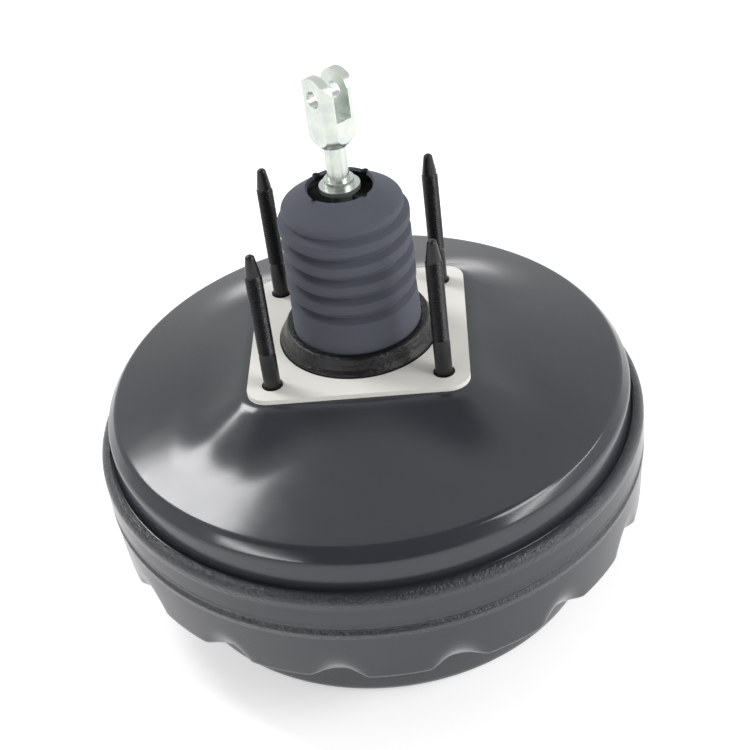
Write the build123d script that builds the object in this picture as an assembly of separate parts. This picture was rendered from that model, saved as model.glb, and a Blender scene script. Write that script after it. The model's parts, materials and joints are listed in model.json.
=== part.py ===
from build123d import *
import math
import os

# Vacuum brake booster. Millimetres. The origin is the centre of the face that lies
# on the firewall, +Z runs along the push rod to the pedal, X and Y follow the studs.

# ---- sheet metal and outer sizes ----
SHEET = 1.6                  # thickness of both shells
FRONT_R = 135.5              # largest outer radius, on the front shell
REAR_STEP = 6.5              # rear shell's side inside the front shell's
REAR_EDGE_STEP = 4.4         # where the rear cone turns down, inside its side
REAR_EDGE_Z = -24.9
REAR_CONE_R = 48.0           # inner end of the rear cone, under the pad
REAR_CONE_Z = -3.8
REAR_SHOULDER = 5.0          # rounding of the cone into the side
REAR_SIDE_Z = -31.0          # foot of the shoulder slope
CONE_BLEND = 20.0            # soft corner between the pad's flank and the cone

# ---- firewall side ----
GASKET_T = 2.5
GASKET_X = 104.0
GASKET_Y = 100.0
GASKET_CORNER = 10.0
PAD_MARGIN = 2.0             # pad showing round the gasket
PAD_TAPER = 63.0             # flank of the pad, degrees from the axis
PAD_DEPTH = 18.0
PAD_EDGE = 3.0
PAD_FOOT_BAND = 10.0         # the pad's foot stays this far inside the shoulder
STUD_X = 80.0                # stud spacing
STUD_Y = 76.0
STUD_R = 4.0                 # M8
STUD_TOP = 72.0
STUD_POINT = 11.0            # length of the conical point
STUD_POINT_R = 2.2
STUD_NECK = 0.4              # press-fit neck under the face, thicker than the thread
STUD_HEAD_R = 7.0
STUD_HEAD_T = 3.0
STUD_HOLE_GAP = 0.3          # stud hole in the shell and the plate
GASKET_HOLE_GAP = 0.7
STUD_PLATE_T = 2.0
STUD_PLATE_GAP = 1.0         # round the neck
STUD_PLATE_MARGIN = 3.0      # plate smaller than the gasket, each side

# ---- crimp between the shells ----
CRIMP_Z = -44.8              # top of the curled lip
CRIMP_LIP = 4.5              # width of the curled lip
CRIMP_BEND = 4.0             # outer radius of the curl
NEST_GAP = 0.2               # rear skirt inside the front shell
FLANGE_FILLET = 1.5
RIM_STEP = 0.5               # lip's inner face below the flange it holds

# ---- front shell ----
GROOVE_Z = -65.0
GROOVE_HALF = 2.0
GROOVE_DEPTH = 1.5
GROOVE_EDGE = 0.8
WALL_DRAFT = 1.9             # side wall narrows by this to its foot
LOWER_Z = -97.0              # corner of the wall and the ledge under it
LOWER_BEND = 3.0
LEDGE_W = 20.0               # the ledge runs in to the drum
LEDGE_DROP = 9.0
LEDGE_BEND = 6.0
DRUM_TAPER = 4.5             # drum narrows by this to the foot
DRUM_BEND = 8.0
FOOT_Z = -136.0
FOOT_IN_R = 74.0
SEAT_Z = -112.0              # master cylinder seat
SEAT_R = 66.0
BEND = 5.0                   # other bends of the front shell
PILOT_R = 17.0
FLUTES = 15
FLUTE_START = 22.3           # degrees
FLUTE_R = 17.0
FLUTE_RISE = 10.0            # top of a flute above the wall's corner
FLUTE_DEPTH = 6.4            # its depth at the corner
FLUTE_LENGTH = 60.0

# ---- neck, seals and boot ----
NECK_R = 31.5                # bore of the rear shell's neck
NECK_TOP = 5.0
SEAL_BOTTOM = -3.0
SEAL_TOP = 3.4
SEAL_RETAINER_T = 1.2
SEAL_LIP = 1.6               # width and height of the rear seal's lip
SEAL_LIP_T = 1.2
SEAL_BACK = 3.0              # foot of the lip under the seal's top
BUSH_T = 3.0
RETAINER_R = 38.2            # boot retainer round the neck
RETAINER_TOP = 8.4
RETAINER_WALL = 1.5
RETAINER_LIP_R = 34.4
RETAINER_FLARE = 1.8         # foot of the ring, wider than its wall
RETAINER_FLARE_Z = 1.2
RETAINER_BEND = 1.6
RETAINER_HOLE_GAP = 0.5      # hole in the gasket round it
BOOT_WALL = 1.6
BOOT_CREST_R = 30.8
BOOT_GROOVE_R = 27.8
BOOT_BEAD_T = 1.5
BOOT_PLAIN_TOP = 24.6
BOOT_PITCH = 10.4
BOOT_FOLDS = 5
BOOT_CAP_TOP = 81.5
BOOT_HOLE_R = 16.0
BOOT_GAP = 0.35              # boot to the retainer's lip
BOOT_VENTS = 4
BOOT_VENT_R = 1.6
BOOT_FOLD_EDGE = 2.0         # rounding of the folds
BOOT_SHOULDER = 3.0
BOOT_GROOVE_AT = 0.3         # in one pitch, where the groove and the crest's foot lie
BOOT_CREST_AT = 0.55
BOOT_CAP_IN = 0.6            # cap's edge inside the crests
BOOT_VENT_DEPTH = 5.0

# ---- valve body ----
BODY_NECK_R = 24.0
BODY_TOP = 71.0
BODY_FLANGE_R = 40.0
BODY_FLANGE_Z = -16.0
BODY_FLANGE_T = 6.0
HUB_R = 34.0
HUB_Z = -50.0
FILTER_BORE_R = 21.5
FILTER_FLOOR = 22.0
CHAMBER_R = 15.0
VALVE_SEAT_Z = -6.0
AIR_PORTS = 4
AIR_PORT_R = 2.6
AIR_PORT_PLACE = 28.5
SLIDE_GAP = 0.05             # running fits
SEAL_GAP = 0.08
PLUNGER_GAP = 0.4            # plunger's body in the valve body
HUB_GAP = 0.1                # diaphragm and plate round the hub
PORT_INTO_FLANGE = 3.0       # blind end of an air port above the flange's face

# ---- valve plunger, reaction disc and rods ----
BALL_R = 6.0
BALL_Z = -14.0
BALL_GAP = 0.06
ROD_R = 5.0
ROD_TOP = 116.0
SOCKET_R = 5.6
PLUNGER_R = 9.5
PLUNGER_NOSE_R = 7.0
PLUNGER_TOP = -6.4
PLUNGER_STEP_Z = -21.5
PLUNGER_NOSE_Z = -33.5
ROD_TRAVEL = 2.0             # free travel of the rod before the servo follows
TRAVEL_SPARE = 0.5
KEY_T = 2.0
KEY_W = 14.0
KEY_GROOVE_R = 5.0
KEY_SLOT_GAP = 0.3
KEY_TAIL = 1.0               # key past the groove's centre, away from its open side
KEY_REACH = 38.0
DISC_T = 8.0
DISC_R = 13.0
ROD_HEAD_T = 4.0
OUTPUT_R = 5.0
OUTPUT_END_Z = -100.0
OUTPUT_THREAD = 14.0         # tapped hole for the screw
OUTPUT_THREAD_SPARE = 2.0
OUTPUT_SCREW_R = 3.0
OUTPUT_SCREW_HEX = 8.0
OUTPUT_TIP_Z = -106.5
OUTPUT_DOME_R = 9.0
OUTPUT_DOME_T = 2.0
OUTPUT_RETAINER_GAP = 0.6
OUTPUT_RETAINER_T = 1.2
OUTPUT_RETAINER_R = 22.0

# ---- control valve ----
POPPET_BORE_R = 7.5
POPPET_R = 13.0
POPPET_T = 2.0
POPPET_SLEEVE_R = 12.4
POPPET_SLEEVE_T = 1.0
POPPET_FLANGE_Z = 10.0
POPPET_RETAINER_T = 2.0
POPPET_RETAINER_BORE = 6.9
POPPET_SPRING_R = 9.6
POPPET_SPRING_WIRE = 0.9
POPPET_SPRING_TURNS = 6
ROD_SPRING_R = 8.4
ROD_SPRING_WIRE = 1.4
ROD_SPRING_TOP = 37.4
ROD_SPRING_TURNS = 7
ROD_WASHER_Z = 38.0
ROD_WASHER_R = 9.6
ROD_WASHER_T = 1.4
FILTER_BORE = 10.5
FILTER_Z = 50.0
FILTER_T = 14.0
SILENCER_T = 5.0
FILTER_LEDGE = 3.5

# ---- diaphragm, plate and return spring ----
PLATE_T = 1.5
PLATE_Z = -25.0              # rear face of the plate at the hub
PLATE_FLAT = 14.0            # flat ring of the plate round the valve body's flange
PLATE_RISE_W = 10.0          # slope out to the rim
PLATE_RISE = 5.0
PLATE_BEND = 6.0
PLATE_EDGE = 3.0
PLATE_RIM_Z = -30.0
PLATE_LIP = 7.0
DIAPHRAGM_T = 2.0
DIAPHRAGM_FOLD_Z = -46.0     # bottom of the rolling fold
DIAPHRAGM_BEAD_T = 3.6
DIAPHRAGM_FOLD_GAP = 1.5     # fold's outer wall inside the rear shell's side
DIAPHRAGM_FOLD_W = 17.5      # from the plate's rim to the fold's outer wall
DIAPHRAGM_FOLD_EDGE = 4.0
DIAPHRAGM_START = 0.5        # sheet starts clear of the valve body's flange
DIAPHRAGM_HUB_W = 2.0        # its hub ring reaches past the flange
SPRING_WIRE = 3.6
SPRING_REAR_R = 44.0
SPRING_FRONT_R = 54.0
SPRING_TURNS = 7.0

# ---- clevis ----
CLEVIS_TURN = 42.0           # angle of the pin to X
CLEVIS_W = 17.0              # along the pin
CLEVIS_D = 19.0
CLEVIS_SLOT = 8.2
CLEVIS_PIN_R = 4.0
CLEVIS_PIN_Z = 127.6
CLEVIS_TOP = 137.4
CLEVIS_BODY_Z = 107.0
CLEVIS_SLOT_Z = 117.0
CLEVIS_NECK_Z = 103.0
CLEVIS_NECK_R = 7.0
CLEVIS_CORNER = 3.5
CLEVIS_CROWN = 0.5           # ear's rounding short of a full half circle
CLEVIS_NECK_EDGE = 1.0
CLEVIS_NECK_BEND = 6.0
COLLAR_R = 9.5
COLLAR_Z = 80.0
COLLAR_T = 2.2
COLLAR_HUB_R = 7.0
COLLAR_HUB_T = 3.0

# ---- master cylinder side ----
MC_STUD_SPACING = 82.0
MC_STUD_R = 4.0
MC_STUD_END = -133.0
MC_CHAMFER = 1.0
MC_HEAD_R = 6.5
MC_HEAD_T = 2.6
FRONT_PLATE_R = 59.0
FRONT_PLATE_T = 2.0
FRONT_SEAL_R = 22.0
FRONT_SEAL_BORE = 14.0
FRONT_SEAL_T = 3.0

# ---- vacuum check valve, on the side wall between two flutes ----
PORT_Z = -83.0
PORT_FLUTE = 2.5             # flute pitches from the first flute
PORT_R = 6.0                 # hose nipple
PORT_BORE_R = 3.6
PORT_BARB = 1.2              # barb stands out of the nipple
PORT_TIP = 0.6               # tip inside the nipple's radius
PORT_REACH = 36.5            # nipple's end out of the wall's largest radius
PORT_BARB_L = 8.0
PORT_FLANGE_T = 3.0
PORT_FLANGE_R = 11.0
PORT_SHANK_R = 7.5
PORT_SHOULDER = 1.0
PORT_SHOULDER_L = 4.0
GROMMET_R = 12.0
GROMMET_NECK_R = 9.5
GROMMET_DEPTH = 7.0          # inside and outside of the wall
GROMMET_HEIGHT = 4.0
GROMMET_TAPER = 1.5
GROMMET_GAP = 0.3            # grommet's outer flange to the wall
GROMMET_IN_GAP = 2.6         # its inner flange clears the wall's curve
CHECK_DEEP = 4.0             # chamber's inner end past the grommet
CHECK_HIGH = 5.0
CHECK_CHAMBER_R = 6.0
CHECK_DISC_R = 5.2
CHECK_DISC_T = 1.4
CHECK_SEAT_T = 2.0
CHECK_SEAT_BORE_R = 3.0
CHECK_SPRING_R = 4.6
CHECK_SPRING_TURNS = 6
CHECK_SPRING_WIRE = 0.6

CUT_SPARE = 1.0              # how far a cutter passes the faces it goes through

# ---- worked out from the above ----
FLANGE_FACE_Z = -GASKET_T                         # outer face of the rear shell's pad
PAD_INNER_Z = FLANGE_FACE_Z - SHEET
REAR_R = FRONT_R - REAR_STEP
REAR_EDGE_R = REAR_R - REAR_EDGE_STEP
CRIMP_LIP_R = FRONT_R - CRIMP_LIP
LOWER_R = FRONT_R - WALL_DRAFT
LEDGE_R = LOWER_R - LEDGE_W
DRUM_R = LEDGE_R - DRUM_TAPER
SKIRT_R = FRONT_R - SHEET - NEST_GAP
STUD_NECK_R = STUD_R + STUD_NECK
MC_NECK_R = MC_STUD_R + STUD_NECK
FOLD_R = REAR_R - DIAPHRAGM_FOLD_GAP
PLATE_RIM_R = FOLD_R - DIAPHRAGM_FOLD_W
REAR_SPLIT_Z = REAR_SIDE_Z - 7.0                  # the domed part of the shell ends here
STUD_PLACES = [(sx * STUD_X / 2, sy * STUD_Y / 2) for sx in (-1, 1) for sy in (-1, 1)]
MC_PLACES = [(-MC_STUD_SPACING / 2, 0), (MC_STUD_SPACING / 2, 0)]
SEAT_INNER_Z = SEAT_Z + SHEET
FRONT_PLATE_TOP = SEAT_INNER_Z + FRONT_PLATE_T
DISC_TOP = PLUNGER_NOSE_Z - ROD_TRAVEL - TRAVEL_SPARE
DISC_BOTTOM = DISC_TOP - DISC_T
ROD_HEAD_BOTTOM = DISC_BOTTOM - ROD_HEAD_T
PLUNGER_BORE_STEP = PLUNGER_STEP_Z - ROD_TRAVEL - TRAVEL_SPARE
KEY_TOP = PLUNGER_STEP_Z - ROD_TRAVEL - 1.0
BEAD_BOTTOM = GROOVE_Z + GROOVE_HALF + SHEET / 2   # the bead stands on the groove's inner ridge
BEAD_TOP = BEAD_BOTTOM + DIAPHRAGM_BEAD_T
SKIRT_END_Z = BEAD_TOP + NEST_GAP
GROOVE_LOW = GROOVE_Z - GROOVE_HALF
GROMMET_TOP_Z = PORT_Z + GROMMET_R
WALL_AT_PORT = FRONT_R - WALL_DRAFT * (GROOVE_LOW - GROMMET_TOP_Z) / (GROOVE_LOW - LOWER_Z)
PORT_TURN = FLUTE_START + PORT_FLUTE * 360 / FLUTES
PORT_END = FRONT_R + PORT_REACH
PORT_BARB_R = PORT_R + PORT_BARB
GROMMET_IN = WALL_AT_PORT - GROMMET_DEPTH
GROMMET_OUT = WALL_AT_PORT + GROMMET_HEIGHT
CHECK_IN = GROMMET_IN - CHECK_DEEP                # ends of the check valve's chamber
CHECK_OUT = GROMMET_OUT + CHECK_HIGH


# ---- helpers ----
def rounded(points, closed=True):
    """Edges through (r, z, rounding) corners, with a tangent arc at each rounded one."""
    edges = []
    count = len(points)
    ends = []
    for i, (x, y, radius) in enumerate(points):
        corner = Vector(x, y)
        inside = closed or 0 < i < count - 1
        if radius <= 0 or not inside:
            ends.append((corner, corner, None))
            continue
        back = (Vector(*points[i - 1][:2]) - corner).normalized()
        ahead = (Vector(*points[(i + 1) % count][:2]) - corner).normalized()
        half = math.radians(back.get_angle(ahead)) / 2
        reach = radius / math.tan(half)
        centre = corner + (back + ahead).normalized() * (radius / math.sin(half))
        middle = centre + (corner - centre).normalized() * radius
        ends.append((corner + back * reach, corner + ahead * reach, middle))
    for i, (start, stop, middle) in enumerate(ends):
        if middle is not None:
            edges.append(ThreePointArc(start, middle, stop))
        following = ends[(i + 1) % count][0]
        if (closed or i < count - 1) and (following - stop).length > 1e-6:
            edges.append(Line(stop, following))
    return edges


def parallel(points, gap):
    """The same open path moved gap to its left, with its roundings kept concentric."""
    count = len(points)
    normals = []
    for i in range(count - 1):
        run = (Vector(*points[i + 1][:2]) - Vector(*points[i][:2])).normalized()
        normals.append(Vector(-run.Y, run.X))
    moved = []
    for i, (x, y, radius) in enumerate(points):
        before = normals[max(i - 1, 0)]
        after = normals[min(i, count - 2)]
        middle = (before + after).normalized()
        shift = middle * (gap / middle.dot(after))
        turn = before.X * after.Y - before.Y * after.X
        kept = radius - gap if turn > 0 else radius + gap
        moved.append((x + shift.X, y + shift.Y, kept if radius > 0 else 0))
    return moved


def turned(points):
    """Solid of revolution about Z from (r, z, rounding) corners."""
    face = make_face(Plane.XZ * Wire(rounded(points)))
    return revolve(face, Axis.Z)


def plain(points):
    """Solid of revolution about Z from sharp (r, z) corners."""
    return turned([(r, z, 0) for r, z in points])


def ring(outer, inner, bottom, top):
    """Plain ring between two heights."""
    return plain([(inner, bottom), (outer, bottom), (outer, top), (inner, top)])


def disc(radius, bottom, top, x=0.0, y=0.0):
    """Upright cylinder between two heights."""
    return Pos(x, y, bottom) * Cylinder(radius, top - bottom, align=(Align.CENTER, Align.CENTER, Align.MIN))


def coil(radius, wire, bottom, top, turns, top_radius=None):
    """Round-wire spring whose ends lie wholly between the two heights."""
    rise = top - bottom - wire
    spread = 0.0 if top_radius is None else math.degrees(math.atan2(top_radius - radius, rise))
    path = Helix(rise / turns, rise, radius, center=(0, 0, bottom + wire / 2), cone_angle=spread)
    section = Plane(path @ 0, z_dir=path % 0) * Circle(wire / 2)
    return sweep(section, path, is_frenet=True)


def at_port(part):
    """Turn a piece made about Z so that it points straight out of the wall at the port."""
    return Pos(0, 0, PORT_Z) * Rot(0, 0, PORT_TURN - 90) * Rot(-90, 0, 0) * part


def one(part):
    """The part as a plain solid or compound, ready to write."""
    solids = part.solids()
    return solids[0] if len(solids) == 1 else Compound(children=list(solids))


# ---- shells ----
def pad(inset):
    """Raised rounded square on the rear dome, moved inwards by inset."""
    side = inset * math.tan(math.radians(45 - PAD_TAPER / 2))
    face = RectangleRounded(
        GASKET_X + 2 * PAD_MARGIN - 2 * side, GASKET_Y + 2 * PAD_MARGIN - 2 * side,
        GASKET_CORNER + PAD_MARGIN - side)
    base = Plane((0, 0, FLANGE_FACE_Z - inset), x_dir=(1, 0, 0), z_dir=(0, 0, -1))
    return extrude(base * face, amount=PAD_DEPTH, taper=-PAD_TAPER)


def rear_dome(inset):
    """Solid under the rear dome, moved inwards by inset."""
    path = [(0, REAR_CONE_Z, 0), (REAR_CONE_R, REAR_CONE_Z, 0), (REAR_EDGE_R, REAR_EDGE_Z, REAR_SHOULDER),
            (REAR_R, REAR_SIDE_Z, REAR_SHOULDER), (REAR_R, REAR_SPLIT_Z, 0)]
    moved = parallel(path, -inset)
    dome = turned(moved + [(0, REAR_SPLIT_Z, 0)])
    body = dome + pad(inset)
    top = body.faces().sort_by(Axis.Z)[-1]
    body = fillet(top.edges(), PAD_EDGE - inset)
    cone = body.faces().filter_by(GeomType.CONE).sort_by(SortBy.AREA)[-1]
    limit = REAR_EDGE_R - PAD_FOOT_BAND
    foot = [edge for edge in cone.edges() if math.hypot((edge @ 0.5).X, (edge @ 0.5).Y) < limit]
    return fillet(foot, CONE_BLEND + inset)


def stud_holes(places, radius, bottom, top):
    """Cutters for a set of studs."""
    return [disc(radius, bottom, top, x, y) for x, y in places]


def rear_shell():
    dome = rear_dome(0) - rear_dome(SHEET)
    skirt_path = [(REAR_R, REAR_SPLIT_Z, 0), (REAR_R, CRIMP_Z - SHEET - NEST_GAP, FLANGE_FILLET),
                  (SKIRT_R, CRIMP_Z - SHEET - NEST_GAP, CRIMP_BEND - SHEET - NEST_GAP),
                  (SKIRT_R, SKIRT_END_Z, 0)]
    inner = parallel(skirt_path, -SHEET)
    skirt = turned(skirt_path + inner[::-1])
    neck = ring(NECK_R + SHEET, NECK_R, PAD_INNER_Z, NECK_TOP)
    shell = dome + skirt + neck
    shell -= disc(NECK_R, PAD_INNER_Z - CUT_SPARE, NECK_TOP)
    for hole in stud_holes(STUD_PLACES, STUD_NECK_R + STUD_HOLE_GAP, PAD_INNER_Z - CUT_SPARE, 0):
        shell -= hole
    return shell


def flutes(radius):
    """Round-bottomed cutters that press the flutes into the corner over the ledge."""
    slope = math.atan2(FLUTE_RISE, FLUTE_DEPTH)
    run = Vector(-math.cos(slope), 0, -math.sin(slope))
    out = Vector(math.sin(slope), 0, -math.cos(slope))
    top = Vector(LOWER_R, 0, LOWER_Z + FLUTE_RISE) + out * FLUTE_R
    rod = extrude(Plane(top - run * FLUTE_LENGTH / 2, z_dir=run) * Circle(radius), amount=FLUTE_LENGTH)
    return [Rot(0, 0, FLUTE_START + i * 360 / FLUTES) * rod for i in range(FLUTES)]


def front_path():
    """Outer side of the front shell, from the curled lip to the master cylinder seat."""
    return [(CRIMP_LIP_R, CRIMP_Z, 0), (FRONT_R, CRIMP_Z, CRIMP_BEND),
            (FRONT_R, GROOVE_Z + GROOVE_HALF, GROOVE_EDGE), (FRONT_R - GROOVE_DEPTH, GROOVE_Z, GROOVE_EDGE),
            (FRONT_R, GROOVE_LOW, GROOVE_EDGE), (LOWER_R, LOWER_Z, LOWER_BEND),
            (LEDGE_R, LOWER_Z - LEDGE_DROP, LEDGE_BEND), (DRUM_R, FOOT_Z, DRUM_BEND),
            (FOOT_IN_R, FOOT_Z, BEND), (SEAT_R, SEAT_Z, BEND), (0, SEAT_Z, 0)]


def front_shell():
    path = front_path()
    inner_path = parallel(path, -SHEET)
    outer = turned(path + [(0, CRIMP_Z, 0)])
    inner = turned(inner_path + [(0, CRIMP_Z - SHEET, 0)])
    for cutter in flutes(FLUTE_R):
        outer -= cutter
    for cutter in flutes(FLUTE_R + SHEET):
        inner -= cutter
    shell = outer - inner - disc(CRIMP_LIP_R, CRIMP_Z - SHEET - RIM_STEP, CRIMP_Z + CUT_SPARE)
    shell -= disc(PILOT_R, SEAT_Z - CUT_SPARE, SEAT_INNER_Z + CUT_SPARE)
    hole_r = MC_NECK_R + STUD_HOLE_GAP
    for hole in stud_holes(MC_PLACES, hole_r, SEAT_Z - CUT_SPARE, SEAT_INNER_Z + CUT_SPARE):
        shell -= hole
    return shell - at_port(disc(GROMMET_NECK_R, GROMMET_IN, GROMMET_OUT))


# ---- firewall side ----
def firewall_gasket():
    face = RectangleRounded(GASKET_X, GASKET_Y, GASKET_CORNER)
    sheet = extrude(Pos(0, 0, -GASKET_T) * face, amount=GASKET_T)
    sheet -= disc(RETAINER_R + RETAINER_HOLE_GAP, -GASKET_T - CUT_SPARE, CUT_SPARE)
    for hole in stud_holes(STUD_PLACES, STUD_NECK_R + GASKET_HOLE_GAP, -GASKET_T - CUT_SPARE, CUT_SPARE):
        sheet -= hole
    return sheet


def stud_plate():
    top = PAD_INNER_Z
    face = RectangleRounded(GASKET_X - 2 * STUD_PLATE_MARGIN, GASKET_Y - 2 * STUD_PLATE_MARGIN,
                            GASKET_CORNER - STUD_PLATE_MARGIN)
    plate = extrude(Pos(0, 0, top - STUD_PLATE_T) * face, amount=STUD_PLATE_T)
    low = top - STUD_PLATE_T - CUT_SPARE
    plate -= disc(NECK_R + SHEET + STUD_PLATE_GAP, low, top + CUT_SPARE)
    for hole in stud_holes(STUD_PLACES, STUD_NECK_R, low, top + CUT_SPARE):
        plate -= hole
    return plate


def firewall_studs():
    head_top = PAD_INNER_Z - STUD_PLATE_T
    stud = plain([(0, head_top - STUD_HEAD_T), (STUD_HEAD_R, head_top - STUD_HEAD_T), (STUD_HEAD_R, head_top),
                  (STUD_NECK_R, head_top), (STUD_NECK_R, 0), (STUD_R, 0), (STUD_R, STUD_TOP - STUD_POINT),
                  (STUD_POINT_R, STUD_TOP), (0, STUD_TOP)])
    return Compound(children=[Pos(x, y, 0) * one(stud) for x, y in STUD_PLACES])


def boot_retainer():
    """Pressed ring round the neck; its rolled lip holds the boot's bead down."""
    wall = RETAINER_R - RETAINER_FLARE
    bend = RETAINER_BEND
    path = [(RETAINER_R, FLANGE_FACE_Z, 0), (RETAINER_R, RETAINER_FLARE_Z, bend),
            (wall, RETAINER_FLARE_Z + RETAINER_FLARE, bend), (RETAINER_LIP_R, RETAINER_TOP, bend),
            (BOOT_CREST_R + BOOT_GAP, RETAINER_TOP, 0)]
    inner = parallel(path, RETAINER_WALL)
    return turned(path + inner[::-1])


def boot_path():
    """Outer side of the boot, from its bead to the hole in its cap: folds that lap downwards."""
    edge = BOOT_FOLD_EDGE
    path = [(BOOT_CREST_R, NECK_TOP + BOOT_BEAD_T, 0), (BOOT_CREST_R, BOOT_PLAIN_TOP, edge)]
    for i in range(BOOT_FOLDS - 1):
        low = BOOT_PLAIN_TOP + i * BOOT_PITCH
        path.append((BOOT_GROOVE_R, low + BOOT_GROOVE_AT * BOOT_PITCH, edge))
        path.append((BOOT_CREST_R, low + BOOT_CREST_AT * BOOT_PITCH, edge))
        path.append((BOOT_CREST_R, low + BOOT_PITCH, edge))
    last = BOOT_PLAIN_TOP + (BOOT_FOLDS - 1) * BOOT_PITCH
    path.append((BOOT_GROOVE_R, last + BOOT_GROOVE_AT * BOOT_PITCH, edge))
    path.append((BOOT_CREST_R - BOOT_CAP_IN, last + BOOT_CREST_AT * BOOT_PITCH, BOOT_SHOULDER))
    path.append((BOOT_HOLE_R, BOOT_CAP_TOP, 0))
    return path


def dust_boot():
    outer = boot_path()
    inner = parallel(outer, BOOT_WALL)
    bead_out = RETAINER_LIP_R - RETAINER_WALL - BOOT_GAP
    boot = turned(outer + inner[::-1])
    boot += ring(bead_out, BOOT_CREST_R - BOOT_WALL, NECK_TOP, NECK_TOP + BOOT_BEAD_T)
    vent = disc(BOOT_VENT_R, BOOT_CAP_TOP - BOOT_VENT_DEPTH, BOOT_CAP_TOP + CUT_SPARE, BOOT_HOLE_R, 0)
    for i in range(BOOT_VENTS):
        boot -= Rot(0, 0, (i + 0.5) * 360 / BOOT_VENTS) * vent
    return boot


def rear_seal():
    lip = BODY_NECK_R + SEAL_GAP
    back = BODY_NECK_R + SEAL_LIP
    return plain([(NECK_R, SEAL_BOTTOM), (NECK_R, SEAL_TOP), (back, SEAL_TOP), (lip, SEAL_TOP - SEAL_LIP_T),
                  (back, SEAL_TOP - SEAL_BACK), (back, SEAL_BOTTOM)])


def seal_retainer():
    return ring(NECK_R, BODY_NECK_R + SEAL_LIP, SEAL_TOP, SEAL_TOP + SEAL_RETAINER_T)


def neck_bush():
    """Hard guide ring under the seal, the bearing that the valve body slides in."""
    return ring(NECK_R, BODY_NECK_R + SLIDE_GAP, SEAL_BOTTOM - BUSH_T, SEAL_BOTTOM)


# ---- valve body and what it carries ----
def valve_body():
    flange_low = BODY_FLANGE_Z - BODY_FLANGE_T
    nose = PLUNGER_NOSE_R + SLIDE_GAP
    bore = PLUNGER_R + PLUNGER_GAP
    body = turned([(FILTER_BORE_R, BODY_TOP, 0), (BODY_NECK_R, BODY_TOP, 0), (BODY_NECK_R, BODY_FLANGE_Z, 2),
                   (BODY_FLANGE_R, BODY_FLANGE_Z, 1), (BODY_FLANGE_R, flange_low, 0), (HUB_R, flange_low, 0),
                   (HUB_R, HUB_Z, 2), (DISC_R, HUB_Z, 0), (DISC_R, DISC_TOP, 0),
                   (nose, DISC_TOP, 0), (nose, PLUNGER_BORE_STEP, 0),
                   (bore, PLUNGER_BORE_STEP, 0), (bore, VALVE_SEAT_Z, 0),
                   (CHAMBER_R, VALVE_SEAT_Z, 0), (CHAMBER_R, FILTER_FLOOR, 0),
                   (FILTER_BORE_R, FILTER_FLOOR, 0)])
    slot = Pos(-KEY_GROOVE_R - KEY_TAIL - KEY_SLOT_GAP, 0, KEY_TOP - KEY_T - KEY_SLOT_GAP / 2) * Box(
        2 * BODY_FLANGE_R, KEY_W + 2 * KEY_SLOT_GAP, KEY_T + KEY_SLOT_GAP,
        align=(Align.MIN, Align.CENTER, Align.MIN))
    body -= slot
    port = disc(AIR_PORT_R, HUB_Z - CUT_SPARE, BODY_FLANGE_Z + PORT_INTO_FLANGE, AIR_PORT_PLACE, 0)
    for i in range(AIR_PORTS):
        body -= Rot(0, 0, (i + 0.5) * 360 / AIR_PORTS) * port
    return body


def stop_key():
    """Flat fork pushed in from the side; it stands in the plunger's groove."""
    low = KEY_TOP - KEY_T
    at = (Align.MIN, Align.CENTER, Align.MIN)
    bar = Pos(-KEY_GROOVE_R - KEY_TAIL, 0, low) * Box(KEY_REACH, KEY_W, KEY_T, align=at)
    gap = KEY_GROOVE_R + KEY_SLOT_GAP
    throat = disc(gap, low - CUT_SPARE, KEY_TOP + CUT_SPARE)
    mouth = Pos(-2 * gap, 0, low - CUT_SPARE) * Box(2 * gap, 2 * gap, KEY_T + 2 * CUT_SPARE, align=at)
    return bar - throat - mouth


def valve_plunger():
    """Air valve: the rod's ball turns in its socket and its nose meets the reaction disc."""
    groove_top = KEY_TOP + KEY_SLOT_GAP + ROD_TRAVEL
    groove_low = KEY_TOP - KEY_T - KEY_SLOT_GAP
    body = plain([(0, PLUNGER_NOSE_Z), (PLUNGER_NOSE_R, PLUNGER_NOSE_Z), (PLUNGER_NOSE_R, groove_low),
                  (KEY_GROOVE_R, groove_low), (KEY_GROOVE_R, groove_top), (PLUNGER_NOSE_R, groove_top),
                  (PLUNGER_NOSE_R, PLUNGER_STEP_Z), (PLUNGER_R, PLUNGER_STEP_Z), (PLUNGER_R, PLUNGER_TOP),
                  (0, PLUNGER_TOP)])
    socket = Pos(0, 0, BALL_Z) * Sphere(BALL_R + BALL_GAP)
    return body - socket - disc(SOCKET_R, BALL_Z, PLUNGER_TOP + 1)


def reaction_disc():
    return disc(DISC_R, DISC_BOTTOM, DISC_TOP)


def output_rod():
    return plain([(0, DISC_BOTTOM), (DISC_R - SLIDE_GAP, DISC_BOTTOM), (DISC_R - SLIDE_GAP, ROD_HEAD_BOTTOM),
                  (OUTPUT_R, ROD_HEAD_BOTTOM), (OUTPUT_R, OUTPUT_END_Z), (OUTPUT_SCREW_R, OUTPUT_END_Z),
                  (OUTPUT_SCREW_R, OUTPUT_END_Z + OUTPUT_THREAD), (0, OUTPUT_END_Z + OUTPUT_THREAD)])


def output_screw():
    """Adjusting screw in the end of the output rod, with a domed head."""
    shank = disc(OUTPUT_SCREW_R, OUTPUT_END_Z, OUTPUT_END_Z + OUTPUT_THREAD - OUTPUT_THREAD_SPARE)
    hexagon = RegularPolygon(OUTPUT_SCREW_HEX / 2, 6, major_radius=False)
    head = extrude(Pos(0, 0, OUTPUT_TIP_Z) * hexagon, amount=OUTPUT_END_Z - OUTPUT_TIP_Z)
    dome = Pos(0, 0, OUTPUT_TIP_Z + OUTPUT_DOME_R) * Sphere(OUTPUT_DOME_R)
    crown = dome + disc(OUTPUT_SCREW_HEX, OUTPUT_TIP_Z + OUTPUT_DOME_T, OUTPUT_END_Z)
    return shank + (head & crown)


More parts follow.
